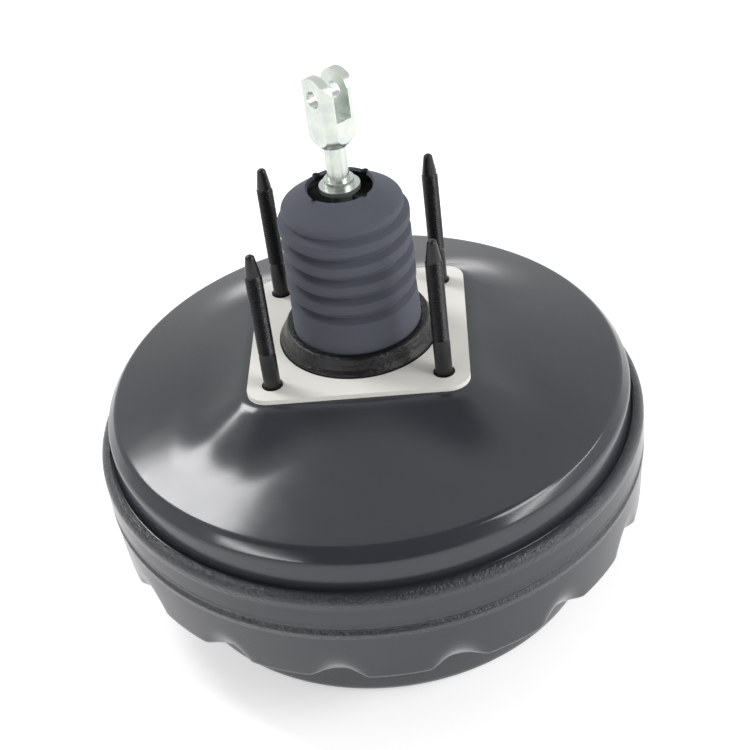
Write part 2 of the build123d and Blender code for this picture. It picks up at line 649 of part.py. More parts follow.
def output_retainer():
    return ring(OUTPUT_RETAINER_R, OUTPUT_R + OUTPUT_RETAINER_GAP, HUB_Z - OUTPUT_RETAINER_T, HUB_Z)


def poppet_valve():
    """Rubber valve: its face covers both seats and its sleeve folds as it moves."""
    face_top = VALVE_SEAT_Z + POPPET_T
    inner = POPPET_SLEEVE_R - POPPET_SLEEVE_T
    return plain([(POPPET_BORE_R, VALVE_SEAT_Z), (POPPET_R, VALVE_SEAT_Z), (POPPET_R, face_top),
                  (POPPET_SLEEVE_R, face_top), (POPPET_SLEEVE_R, POPPET_FLANGE_Z),
                  (CHAMBER_R, POPPET_FLANGE_Z), (CHAMBER_R, POPPET_FLANGE_Z + POPPET_T),
                  (inner, POPPET_FLANGE_Z + POPPET_T),
                  (inner, face_top), (POPPET_BORE_R, face_top)])


def poppet_retainer():
    low = POPPET_FLANGE_Z + POPPET_T
    return ring(CHAMBER_R, POPPET_RETAINER_BORE, low, low + POPPET_RETAINER_T)


def poppet_spring():
    low = VALVE_SEAT_Z + POPPET_T
    return coil(POPPET_SPRING_R, POPPET_SPRING_WIRE, low, POPPET_FLANGE_Z + POPPET_T, POPPET_SPRING_TURNS)


def rod_spring():
    low = POPPET_FLANGE_Z + POPPET_T + POPPET_RETAINER_T
    return coil(ROD_SPRING_R, ROD_SPRING_WIRE, low, ROD_SPRING_TOP, ROD_SPRING_TURNS)


def air_filter():
    return ring(FILTER_BORE_R, FILTER_BORE, FILTER_Z, FILTER_Z + FILTER_T)


def filter_silencer():
    low = FILTER_Z + FILTER_T
    return ring(FILTER_BORE_R, FILTER_BORE, low, low + SILENCER_T)


def filter_seat():
    """Ledge ring that carries the filter in the neck of the valve body."""
    return ring(FILTER_BORE_R, FILTER_BORE_R - FILTER_LEDGE, FILTER_FLOOR, FILTER_Z)


# ---- rod and clevis ----
def input_rod():
    rod = disc(ROD_R, BALL_Z, ROD_TOP)
    return rod + Pos(0, 0, BALL_Z) * Sphere(BALL_R)


def rod_washer():
    return ring(ROD_WASHER_R, ROD_R, ROD_WASHER_Z, ROD_WASHER_Z + ROD_WASHER_T)


def rod_collar():
    low = COLLAR_Z
    return plain([(ROD_R, low), (COLLAR_R, low), (COLLAR_R, low + COLLAR_T), (COLLAR_HUB_R, low + COLLAR_T),
                  (COLLAR_HUB_R, low + COLLAR_T + COLLAR_HUB_T), (ROD_R, low + COLLAR_T + COLLAR_HUB_T)])


def clevis():
    """Fork end, made with its pin along X and then turned."""
    crown = CLEVIS_TOP - CLEVIS_PIN_Z - CLEVIS_CROWN
    half = CLEVIS_D / 2
    wide = half + CLEVIS_NECK_EDGE
    block = extrude(Pos(0, 0, CLEVIS_NECK_Z) * RectangleRounded(CLEVIS_W, CLEVIS_D, CLEVIS_CORNER),
                    amount=CLEVIS_TOP - CLEVIS_NECK_Z)
    side = make_face(Plane.YZ * Wire(rounded([
        (-half, CLEVIS_NECK_Z, 0), (half, CLEVIS_NECK_Z, 0), (half, CLEVIS_TOP, crown),
        (-half, CLEVIS_TOP, crown)])))
    block &= extrude(side, amount=CLEVIS_W, both=True)
    block &= turned([(0, CLEVIS_NECK_Z, 0), (CLEVIS_NECK_R, CLEVIS_NECK_Z, 0),
                     (wide, CLEVIS_BODY_Z, CLEVIS_NECK_BEND), (wide, CLEVIS_TOP, 0), (0, CLEVIS_TOP, 0)])
    reach = math.hypot(CLEVIS_W, CLEVIS_D)
    slot = Pos(0, 0, CLEVIS_SLOT_Z) * Box(
        CLEVIS_SLOT, reach, CLEVIS_TOP, align=(Align.CENTER, Align.CENTER, Align.MIN))
    pin = Pos(0, 0, CLEVIS_PIN_Z) * Rot(0, 90, 0) * Cylinder(CLEVIS_PIN_R, reach)
    fork = block - slot - pin - disc(ROD_R, CLEVIS_NECK_Z - CUT_SPARE, ROD_TOP)
    return Rot(0, 0, CLEVIS_TURN) * fork


# ---- diaphragm, plate and return spring ----
def plate_path():
    """Rear side of the diaphragm plate, from the hub to the rim."""
    flat = BODY_FLANGE_R + PLATE_FLAT
    return [(HUB_R + HUB_GAP, PLATE_Z, 0), (flat, PLATE_Z, PLATE_BEND),
            (flat + PLATE_RISE_W, PLATE_Z + PLATE_RISE, PLATE_BEND), (PLATE_RIM_R, PLATE_RIM_Z, PLATE_EDGE)]


def diaphragm_plate():
    path = plate_path() + [(PLATE_RIM_R, PLATE_RIM_Z - PLATE_LIP, 0)]
    lower = parallel(path, -PLATE_T)
    return turned(path + lower[::-1])


def diaphragm():
    """Rubber sheet on the plate, with a rolling fold out to the bead in the crimp."""
    inside = FOLD_R - DIAPHRAGM_T
    path = [(BODY_FLANGE_R + DIAPHRAGM_START, PLATE_Z, 0)] + plate_path()[1:] + [
        (PLATE_RIM_R, DIAPHRAGM_FOLD_Z, DIAPHRAGM_FOLD_EDGE), (inside, DIAPHRAGM_FOLD_Z, DIAPHRAGM_FOLD_EDGE),
        (inside, BEAD_TOP - DIAPHRAGM_BEAD_T / 2, 0)]
    upper = parallel(path, DIAPHRAGM_T)
    sheet = turned(path + upper[::-1])
    bead = ring(SKIRT_R, inside, BEAD_BOTTOM, BEAD_TOP)
    hub = ring(BODY_FLANGE_R + DIAPHRAGM_HUB_W, HUB_R + HUB_GAP, PLATE_Z, BODY_FLANGE_Z - BODY_FLANGE_T)
    return sheet + bead + hub


def return_spring():
    low = FRONT_PLATE_TOP
    top = PLATE_Z - PLATE_T
    return coil(SPRING_FRONT_R, SPRING_WIRE, low, top, SPRING_TURNS, SPRING_REAR_R)


# ---- master cylinder side ----
def front_plate():
    plate = ring(FRONT_PLATE_R, FRONT_SEAL_R, SEAT_INNER_Z, FRONT_PLATE_TOP)
    for hole in stud_holes(MC_PLACES, MC_NECK_R, SEAT_Z, FRONT_PLATE_TOP + CUT_SPARE):
        plate -= hole
    return plate


def master_cylinder_studs():
    top = FRONT_PLATE_TOP + MC_HEAD_T
    stud = plain([(0, MC_STUD_END), (MC_STUD_R - MC_CHAMFER, MC_STUD_END),
                  (MC_STUD_R, MC_STUD_END + MC_CHAMFER), (MC_STUD_R, SEAT_Z), (MC_NECK_R, SEAT_Z),
                  (MC_NECK_R, FRONT_PLATE_TOP), (MC_HEAD_R, FRONT_PLATE_TOP), (MC_HEAD_R, top), (0, top)])
    return Compound(children=[Pos(x, y, 0) * one(stud) for x, y in MC_PLACES])


def front_seal():
    return ring(FRONT_SEAL_R, FRONT_SEAL_BORE, SEAT_INNER_Z, SEAT_INNER_Z + FRONT_SEAL_T)


# ---- vacuum check valve ----
def check_valve_grommet():
    low = WALL_AT_PORT - SHEET - GROMMET_IN_GAP
    high = WALL_AT_PORT + GROMMET_GAP
    return at_port(turned([
        (PORT_SHANK_R, GROMMET_IN, 0), (GROMMET_R - GROMMET_TAPER, GROMMET_IN, 0), (GROMMET_R, low, 0),
        (GROMMET_NECK_R, low, 0), (GROMMET_NECK_R, high, 0), (GROMMET_R, high, 0),
        (GROMMET_R, GROMMET_OUT, 1), (PORT_SHANK_R, GROMMET_OUT, 0)]))


def check_valve_body():
    """Hose nipple; its stepped chamber holds the seat, the disc and the spring."""
    top = GROMMET_OUT + PORT_FLANGE_T
    neck = PORT_SHANK_R + PORT_SHOULDER
    step = CHECK_OUT + PORT_SHOULDER_L
    return at_port(turned([
        (CHECK_CHAMBER_R, CHECK_IN, 0), (PORT_SHANK_R, CHECK_IN, 0), (PORT_SHANK_R, GROMMET_OUT, 0),
        (PORT_FLANGE_R, GROMMET_OUT, 0), (PORT_FLANGE_R, top, PORT_SHOULDER), (neck, top, 0),
        (neck, step, PORT_SHOULDER), (PORT_R, step, 0), (PORT_R, PORT_END - PORT_BARB_L, 0),
        (PORT_BARB_R, PORT_END - PORT_BARB_L + PORT_SHOULDER, 0), (PORT_R - PORT_TIP, PORT_END, 0),
        (PORT_BORE_R, PORT_END, 0), (PORT_BORE_R, CHECK_OUT, 0), (CHECK_CHAMBER_R, CHECK_OUT, 0)]))


def check_valve_seat():
    """Ring at the inner end that the disc closes on."""
    return at_port(ring(CHECK_CHAMBER_R, CHECK_SEAT_BORE_R, CHECK_IN, CHECK_IN + CHECK_SEAT_T))


def check_valve_disc():
    low = CHECK_IN + CHECK_SEAT_T
    return at_port(disc(CHECK_DISC_R, low, low + CHECK_DISC_T))


def check_valve_spring():
    low = CHECK_IN + CHECK_SEAT_T + CHECK_DISC_T
    return at_port(coil(CHECK_SPRING_R, CHECK_SPRING_WIRE, low, CHECK_OUT, CHECK_SPRING_TURNS))


NODES = {
    "rear_shell": rear_shell, "front_shell": front_shell, "firewall_gasket": firewall_gasket,
    "stud_plate": stud_plate, "firewall_studs": firewall_studs, "boot_retainer": boot_retainer,
    "dust_boot": dust_boot, "rear_seal": rear_seal, "seal_retainer": seal_retainer, "neck_bush": neck_bush,
    "valve_body": valve_body, "stop_key": stop_key, "valve_plunger": valve_plunger,
    "reaction_disc": reaction_disc, "output_rod": output_rod, "output_screw": output_screw,
    "output_retainer": output_retainer, "poppet_valve": poppet_valve, "poppet_retainer": poppet_retainer,
    "poppet_spring": poppet_spring, "rod_spring": rod_spring, "air_filter": air_filter,
    "filter_silencer": filter_silencer, "filter_seat": filter_seat, "input_rod": input_rod,
    "rod_washer": rod_washer, "rod_collar": rod_collar, "clevis": clevis,
    "diaphragm_plate": diaphragm_plate, "diaphragm": diaphragm, "return_spring": return_spring,
    "front_plate": front_plate, "master_cylinder_studs": master_cylinder_studs, "front_seal": front_seal,
    "check_valve_grommet": check_valve_grommet, "check_valve_body": check_valve_body,
    "check_valve_seat": check_valve_seat, "check_valve_disc": check_valve_disc,
    "check_valve_spring": check_valve_spring,
}

os.makedirs("parts", exist_ok=True)
for name, make in NODES.items():
    export_step(one(make()), f"parts/{name}.step")
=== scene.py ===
"""Visual model of a vacuum brake booster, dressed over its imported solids."""
import json
import logging
import math
from dataclasses import dataclass, field
from enum import Enum
from typing import Any, Callable, Iterable, Sequence

import bpy
from mathutils import Matrix, Vector

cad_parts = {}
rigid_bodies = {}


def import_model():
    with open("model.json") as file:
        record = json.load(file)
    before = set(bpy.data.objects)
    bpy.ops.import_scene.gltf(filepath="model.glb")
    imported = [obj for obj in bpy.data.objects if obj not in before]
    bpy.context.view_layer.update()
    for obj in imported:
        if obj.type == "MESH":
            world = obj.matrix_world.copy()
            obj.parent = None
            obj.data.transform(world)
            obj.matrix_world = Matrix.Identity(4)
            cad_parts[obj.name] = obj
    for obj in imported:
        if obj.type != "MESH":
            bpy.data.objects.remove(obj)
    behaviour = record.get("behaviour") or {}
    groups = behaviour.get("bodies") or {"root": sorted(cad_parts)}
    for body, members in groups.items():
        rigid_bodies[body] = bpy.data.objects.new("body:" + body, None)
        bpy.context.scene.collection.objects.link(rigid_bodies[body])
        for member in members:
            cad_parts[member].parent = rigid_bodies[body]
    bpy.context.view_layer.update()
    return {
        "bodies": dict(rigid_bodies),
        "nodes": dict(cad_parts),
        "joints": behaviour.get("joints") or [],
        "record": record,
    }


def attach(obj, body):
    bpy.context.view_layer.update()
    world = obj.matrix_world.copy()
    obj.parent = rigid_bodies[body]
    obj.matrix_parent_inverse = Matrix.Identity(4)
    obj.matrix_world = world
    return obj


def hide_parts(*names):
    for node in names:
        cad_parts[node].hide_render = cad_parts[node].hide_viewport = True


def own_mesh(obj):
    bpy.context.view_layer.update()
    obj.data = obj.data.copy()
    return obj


LOG = logging.getLogger("booster")
MM = 0.001
SAME_PLACE = 1e-6            # points closer than this are one
LEAST_ROUNDING = 0.05        # rounding that a corner keeps when it is offset
HEIGHT_SLACK = 0.01          # play when two heights are compared

Corner = tuple[float, float, float]      # radius, height, rounding
Point = tuple[float, float]


class Grain(Enum):
    """Kind of fine relief on a finish."""

    NONE = 0
    ORANGE_PEEL = 1
    CAST = 2
    FIBRE = 3
    BRUSHED = 4


# ---------------------------------------------------------------- outlines and meshes
def sampled(corners: Sequence[Corner], step_deg: float = 7.5) -> list[Point]:
    """Points of an open outline, with an arc at each rounded corner.

    Args:
        corners: radius, height and rounding of each corner, in millimetres.
        step_deg: largest turn between two points of an arc.
    Returns:
        Radius and height of each point.
    """
    points: list[Point] = []
    for i, (r, z, rounding) in enumerate(corners):
        corner = Vector((r, z))
        if rounding <= 0 or i in (0, len(corners) - 1):
            points.append((r, z))
            continue
        back = (Vector(corners[i - 1][:2]) - corner).normalized()
        ahead = (Vector(corners[i + 1][:2]) - corner).normalized()
        half = back.angle(ahead) / 2
        reach = rounding / math.tan(half)
        centre = corner + (back + ahead).normalized() * (rounding / math.sin(half))
        start = corner + back * reach - centre
        turn = math.pi - 2 * half
        side = 1.0 if start.cross(corner + ahead * reach - centre) > 0 else -1.0
        count = max(2, math.ceil(math.degrees(turn) / step_deg))
        for k in range(count + 1):
            angle = side * turn * k / count
            spin = Matrix.Rotation(angle, 2)
            points.append(tuple(centre + spin @ start))
    return points


def refined(points: Sequence[Point], gap: Callable[[Point], float]) -> list[Point]:
    """Points of an outline, with more of them wherever a run is longer than wanted.

    Args:
        points: radius and height of each point.
        gap: longest run wanted at a place.
    Returns:
        The denser outline.
    """
    out = [points[0]]
    for a, b in zip(points, points[1:]):
        length = math.dist(a, b)
        if length < SAME_PLACE:
            continue
        middle = ((a[0] + b[0]) / 2, (a[1] + b[1]) / 2)
        count = max(1, math.ceil(length / gap(middle)))
        out += [(a[0] + (b[0] - a[0]) * k / count, a[1] + (b[1] - a[1]) * k / count)
                for k in range(1, count + 1)]
    return out


def offset(corners: Sequence[Corner], gap: float) -> list[Corner]:
    """The same open outline moved to its left, with its roundings kept concentric.

    Args:
        corners: radius, height and rounding of each corner.
        gap: how far it moves; less than nothing moves it to its right.
    Returns:
        The corners of the moved outline.
    """
    normals = []
    for a, b in zip(corners, corners[1:]):
        run = (Vector(b[:2]) - Vector(a[:2])).normalized()
        normals.append(Vector((-run.y, run.x)))
    moved: list[Corner] = []
    for i, (r, z, rounding) in enumerate(corners):
        before = normals[max(i - 1, 0)]
        after = normals[min(i, len(normals) - 1)]
        middle = (before + after).normalized()
        shift = middle * (gap / middle.dot(after))
        kept = rounding - gap if before.cross(after) > 0 else rounding + gap
        kept = max(kept, LEAST_ROUNDING) if rounding > 0 else 0.0
        moved.append((r + shift.x, z + shift.y, kept))
    return moved


def mesh_piece(name: str, verts: Iterable[Sequence[float]], faces: Iterable[Sequence[int]],
               crease_deg: float = 35.0) -> bpy.types.Object:
    """A smooth-shaded object from vertices in millimetres.

    Args:
        name: name of the object.
        verts: vertex positions in millimetres, in the row frame.
        faces: vertex numbers of each face.
        crease_deg: edges that turn more than this stay sharp.
    Returns:
        The new object, at the origin.
    """
    mesh = bpy.data.meshes.new(name)
    mesh.from_pydata([(x * MM, y * MM, z * MM) for x, y, z in verts], [], [tuple(f) for f in faces])
    mesh.validate()
    mesh.shade_smooth()
    mesh.set_sharp_from_angle(angle=math.radians(crease_deg))
    piece = bpy.data.objects.new(name, mesh)
    bpy.context.scene.collection.objects.link(piece)
    return piece


def lathe(name: str, outline: Sequence[Point], segments: int,
          shape: Callable[[float, float, float], Point] | None = None,
          crease_deg: float = 35.0) -> bpy.types.Object:
    """A turned piece from a closed outline.

    Args:
        name: name of the object.
        outline: closed loop of radius and height, in millimetres, anticlockwise with the radius to the right.
        segments: divisions round the axis.
        shape: optional change of radius and height at an angle.
        crease_deg: edges that turn more than this stay sharp.
    Returns:
        The new object.
    """
    count = len(outline)
    verts = []
    for k in range(segments):
        angle = 2 * math.pi * k / segments
        for r, z in outline:
            if shape:
                r, z = shape(r, z, angle)
            verts.append((r * math.cos(angle), r * math.sin(angle), z))
    faces = []
    for k in range(segments):
        here, there = k * count, ((k + 1) % segments) * count
        for i in range(count):
            j = (i + 1) % count
            faces.append((here + i, there + i, there + j, here + j))
    return mesh_piece(name, verts, faces, crease_deg)


def smooth_max(a: float, b: float, width: float) -> float:
    """The larger of two values, rounded off where they are within width of each other."""
    near = max(width - abs(a - b), 0.0) / width
    return max(a, b) + near * near * width / 4


# ---------------------------------------------------------------- finishes
@dataclass(frozen=True)
class Cloud:
    """Noise: the size of its features, its layers and how strong the fine ones are."""

    size_mm: float
    detail: float
    rough: float

    def build(self, tree: bpy.types.NodeTree, place: bpy.types.NodeSocket) -> bpy.types.NodeSocket:
        """Noise value on a place socket.

        Args:
            tree: the material's nodes.
            place: socket that gives the place on the piece.
        Returns:
            The socket with the noise value.
        """
        noise = tree.nodes.new("ShaderNodeTexNoise")
        noise.inputs["Scale"].default_value = 1 / (self.size_mm * MM)
        noise.inputs["Detail"].default_value = self.detail
        noise.inputs["Roughness"].default_value = self.rough
        tree.links.new(place, noise.inputs["Vector"])
        return noise.outputs["Fac"]


GLOSS_PATCHES = Cloud(12.0, 3.0, 0.6)    # where a surface is duller or glossier
LEAST_ROUGHNESS = 0.02
GLOSS_SPAN = (0.3, 0.7)                  # noise values that give the least and the most roughness
TONE_DETAIL, TONE_ROUGH = 4.0, 0.6       # noise that parts the two tones of a colour
TONE_SPAN = (0.32, 0.68)                 # noise values of the darker and the lighter tone
PEEL_DETAIL, GRAIN_DETAIL = 2.0, 6.0     # layers of the relief on sprayed paint and on the rest
GRAIN_ROUGH = 0.55
BRUSH_STRETCH = (1.0, 1.0, 14.0)         # brushed marks run round the piece
ROLLED_PITS = Cloud(2.2, 3.0, 0.75)      # pits where the sheet was rolled
PIT_DEPTH_MM = 0.9
BAND_REACH = 1.6                         # reach of a rolled band, as a share of its half width


@dataclass(frozen=True)
class Finish:
    """One surface finish, built as a node material on Object coordinates."""

    name: str
    colour: tuple[float, float, float]
    roughness: float
    metallic: float = 0.0
    grain: Grain = Grain.NONE
    grain_mm: float = 1.0
    relief: float = 0.1
    relief_mm: float = 0.1
    mottle: float = 0.12
    mottle_mm: float = 30.0
    tint: tuple[float, float, float] | None = None
    rough_spread: float = 0.05
    specular: float = 0.5
    rough_bands: tuple[Point, ...] = ()
    band_relief: float = 0.8

    def build(self) -> bpy.types.Material:
        """The material, made once and then reused.

        Returns:
            The finish's material.
        """
        ready = bpy.data.materials.get(self.name)
        if ready:
            return ready
        material = bpy.data.materials.new(self.name)
        material.use_nodes = True
        tree = material.node_tree
        shader = tree.nodes["Principled BSDF"]
        place = tree.nodes.new("ShaderNodeTexCoord").outputs["Object"]
        shader.inputs["Metallic"].default_value = self.metallic
        shader.inputs["Specular IOR Level"].default_value = self.specular
        self._paint(tree, shader, place)
        self._gloss(tree, shader, place)
        if self.grain is not Grain.NONE:
            self._relief(tree, shader, place)
        return material

    def _paint(self, tree: bpy.types.NodeTree, shader: bpy.types.Node, place: bpy.types.NodeSocket) -> None:
        """Colour that drifts softly between two close tones.

        Args:
            tree: the material's nodes.
            shader: the surface shader.
            place: socket that gives the place on the piece.
        """
        ramp = tree.nodes.new("ShaderNodeValToRGB")
        low = tuple(c * (1 - self.mottle) for c in self.colour)
        high = self.tint or tuple(min(1.0, c * (1 + self.mottle)) for c in self.colour)
        for element, level, tone in zip(ramp.color_ramp.elements, TONE_SPAN, (low, high)):
            element.position = level
            element.color = (*tone, 1)
        tones = Cloud(self.mottle_mm, TONE_DETAIL, TONE_ROUGH).build(tree, place)
        tree.links.new(tones, ramp.inputs["Fac"])
        tree.links.new(ramp.outputs["Color"], shader.inputs["Base Color"])

    def _gloss(self, tree: bpy.types.NodeTree, shader: bpy.types.Node, place: bpy.types.NodeSocket) -> None:
        """Roughness that varies a little over the surface.

        Args:
            tree: the material's nodes.
            shader: the surface shader.
            place: socket that gives the place on the piece.
        """
        band = tree.nodes.new("ShaderNodeMapRange")
        band.inputs["From Min"].default_value, band.inputs["From Max"].default_value = GLOSS_SPAN
        band.inputs["To Min"].default_value = max(LEAST_ROUGHNESS, self.roughness - self.rough_spread)
        band.inputs["To Max"].default_value = min(1.0, self.roughness + self.rough_spread)
        tree.links.new(GLOSS_PATCHES.build(tree, place), band.inputs["Value"])
        tree.links.new(band.outputs["Result"], shader.inputs["Roughness"])

    def _relief(self, tree: bpy.types.NodeTree, shader: bpy.types.Node, place: bpy.types.NodeSocket) -> None:
        """Fine bump for the finish's grain.

        Args:
            tree: the material's nodes.
            shader: the surface shader.
            place: socket that gives the place on the piece.
        """
        if self.grain is Grain.BRUSHED:
            stretch = tree.nodes.new("ShaderNodeMapping")
            stretch.inputs["Scale"].default_value = BRUSH_STRETCH
            tree.links.new(place, stretch.inputs["Vector"])
            place = stretch.outputs["Vector"]
        detail = PEEL_DETAIL if self.grain is Grain.ORANGE_PEEL else GRAIN_DETAIL
        fine = Cloud(self.grain_mm, detail, GRAIN_ROUGH).build(tree, place)
        bump = tree.nodes.new("ShaderNodeBump")
        bump.inputs["Strength"].default_value = self.relief
        bump.inputs["Distance"].default_value = self.relief_mm * MM
        tree.links.new(fine, bump.inputs["Height"])
        if self.rough_bands:
            self._pits(tree, place, bump)
        tree.links.new(bump.outputs["Normal"], shader.inputs["Normal"])

    def _pits(self, tree: bpy.types.NodeTree, place: bpy.types.NodeSocket, bump: bpy.types.Node) -> None:
        """Coarse paint and pits in the bands of height where the sheet was rolled.

        Args:
            tree: the material's nodes.
            place: socket that gives the place on the piece.
            bump: the fine bump that lies over the pits.
        """
        height = tree.nodes.new("ShaderNodeSeparateXYZ")
        tree.links.new(place, height.inputs[0])
        mask = None
        for middle, half in self.rough_bands:
            above = self._maths(tree, "SUBTRACT", height.outputs["Z"], middle * MM)
            share = self._maths(tree, "DIVIDE", self._maths(tree, "ABSOLUTE", above), half * MM)
            inside = self._maths(tree, "SUBTRACT", BAND_REACH, share, clamp=True)
            mask = inside if mask is None else self._maths(tree, "MAXIMUM", mask, inside)
        pits = self._maths(tree, "MULTIPLY", mask, ROLLED_PITS.build(tree, place))
        coarse = tree.nodes.new("ShaderNodeBump")
        coarse.inputs["Strength"].default_value = self.band_relief
        coarse.inputs["Distance"].default_value = PIT_DEPTH_MM * MM
        tree.links.new(pits, coarse.inputs["Height"])
        tree.links.new(coarse.outputs["Normal"], bump.inputs["Normal"])

    @staticmethod
    def _maths(tree: bpy.types.NodeTree, task: str, first: float | bpy.types.NodeSocket,
               second: float | bpy.types.NodeSocket = 0.0, clamp: bool = False) -> bpy.types.NodeSocket:
        """Result of one sum on numbers or sockets.

        Args:
            tree: the material's nodes.
            task: the node's operation.
            first: first number or socket.
            second: second number or socket.
            clamp: keep the result between 0 and 1.
        Returns:
            The socket with the result.
        """
        node = tree.nodes.new("ShaderNodeMath")
        node.operation = task
        node.use_clamp = clamp
        for socket, value in zip(node.inputs, (first, second)):
            if isinstance(value, bpy.types.NodeSocket):
                tree.links.new(value, socket)
            else:
                socket.default_value = value
        return node.outputs["Value"]


SHELL_BLACK = Finish("shell_black", (0.030, 0.033, 0.039), 0.17, grain=Grain.ORANGE_PEEL, grain_mm=2.2,
                     relief=0.03, relief_mm=0.1, mottle=0.08, mottle_mm=60.0, rough_spread=0.02)
RIM_BLACK = Finish("shell_black_rolled", (0.030, 0.033, 0.039), 0.19, grain=Grain.ORANGE_PEEL, grain_mm=2.2,
                   relief=0.03, relief_mm=0.1, mottle=0.08, mottle_mm=60.0, rough_spread=0.03,
                   rough_bands=((-46.0, 3.5), (-65.0, 3.0)), band_relief=1.0)
RING_BLACK = Finish("ring_black", (0.006, 0.0065, 0.007), 0.20, grain=Grain.CAST, grain_mm=2.2,
                    relief=1.0, relief_mm=0.8, specular=0.42)
STUD_BLACK = Finish("stud_black", (0.008, 0.0085, 0.0095), 0.33, grain=Grain.CAST, grain_mm=0.9, relief=0.8,
                    relief_mm=0.25, mottle=0.3, mottle_mm=4.0, specular=0.4)
GASKET = Finish("gasket_fibre", (0.80, 0.795, 0.75), 0.88, grain=Grain.FIBRE, grain_mm=0.7, relief=0.5,
                relief_mm=0.15, mottle=0.10, mottle_mm=9.0, specular=0.3)
BOOT = Finish("boot_rubber", (0.012, 0.014, 0.0155), 0.38, grain=Grain.CAST, grain_mm=0.9, relief=0.22,
              relief_mm=0.15, mottle=0.22, mottle_mm=16.0, rough_spread=0.08, specular=0.30)
SEAL = Finish("seal_rubber", (0.018, 0.018, 0.02), 0.6, grain=Grain.CAST, grain_mm=0.8, relief=0.15)
ZINC = Finish("zinc_plate", (0.60, 0.655, 0.65), 0.30, metallic=0.85, grain=Grain.BRUSHED, grain_mm=1.2,
              relief=0.10, relief_mm=0.08, mottle=0.12, mottle_mm=6.0, tint=(0.66, 0.70, 0.62))
STEEL = Finish("plain_steel", (0.46, 0.47, 0.48), 0.38, metallic=1.0, grain=Grain.CAST, grain_mm=1.0,
               relief=0.08, mottle=0.1, mottle_mm=20.0)
SPRING = Finish("spring_steel", (0.22, 0.23, 0.25), 0.34, metallic=1.0, grain=Grain.CAST, grain_mm=0.6,
                relief=0.1, mottle=0.15, mottle_mm=8.0)
VALVE_PLASTIC = Finish("valve_plastic", (0.035, 0.034, 0.035), 0.45, grain=Grain.CAST, grain_mm=0.7,
                       relief=0.12, mottle=0.25, mottle_mm=5.0)
BLACK_PLASTIC = Finish("black_plastic", (0.026, 0.026, 0.028), 0.42, grain=Grain.CAST, grain_mm=0.5,
                       relief=0.14)
WHITE_PLASTIC = Finish("white_plastic", (0.70, 0.70, 0.67), 0.4, grain=Grain.CAST, grain_mm=0.8,
                       relief=0.06)
FOAM = Finish("filter_foam", (0.035, 0.035, 0.037), 0.95, grain=Grain.FIBRE, grain_mm=0.9, relief=1.0,
              relief_mm=0.6, mottle=0.4, mottle_mm=2.0, specular=0.2)


def dress(piece: bpy.types.Object, finish: Finish) -> None:
    """Give a piece one finish all over."""
    piece.data.materials.clear()
    piece.data.materials.append(finish.build())


def place_piece(piece: bpy.types.Object, finish: Finish, body: str,
                nodes: Sequence[str] = ()) -> None:
    """Dress a piece, fix it to its body and let it stand for solids.

    Args:
        piece: the finished object.
        finish: its finish.
        body: body that carries it.
        nodes: solids that it stands for.
    """
    dress(piece, finish)
    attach(piece, body)
    if nodes:
        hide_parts(*nodes)
    LOG.info("made %s with %d faces", piece.name, len(piece.data.polygons))


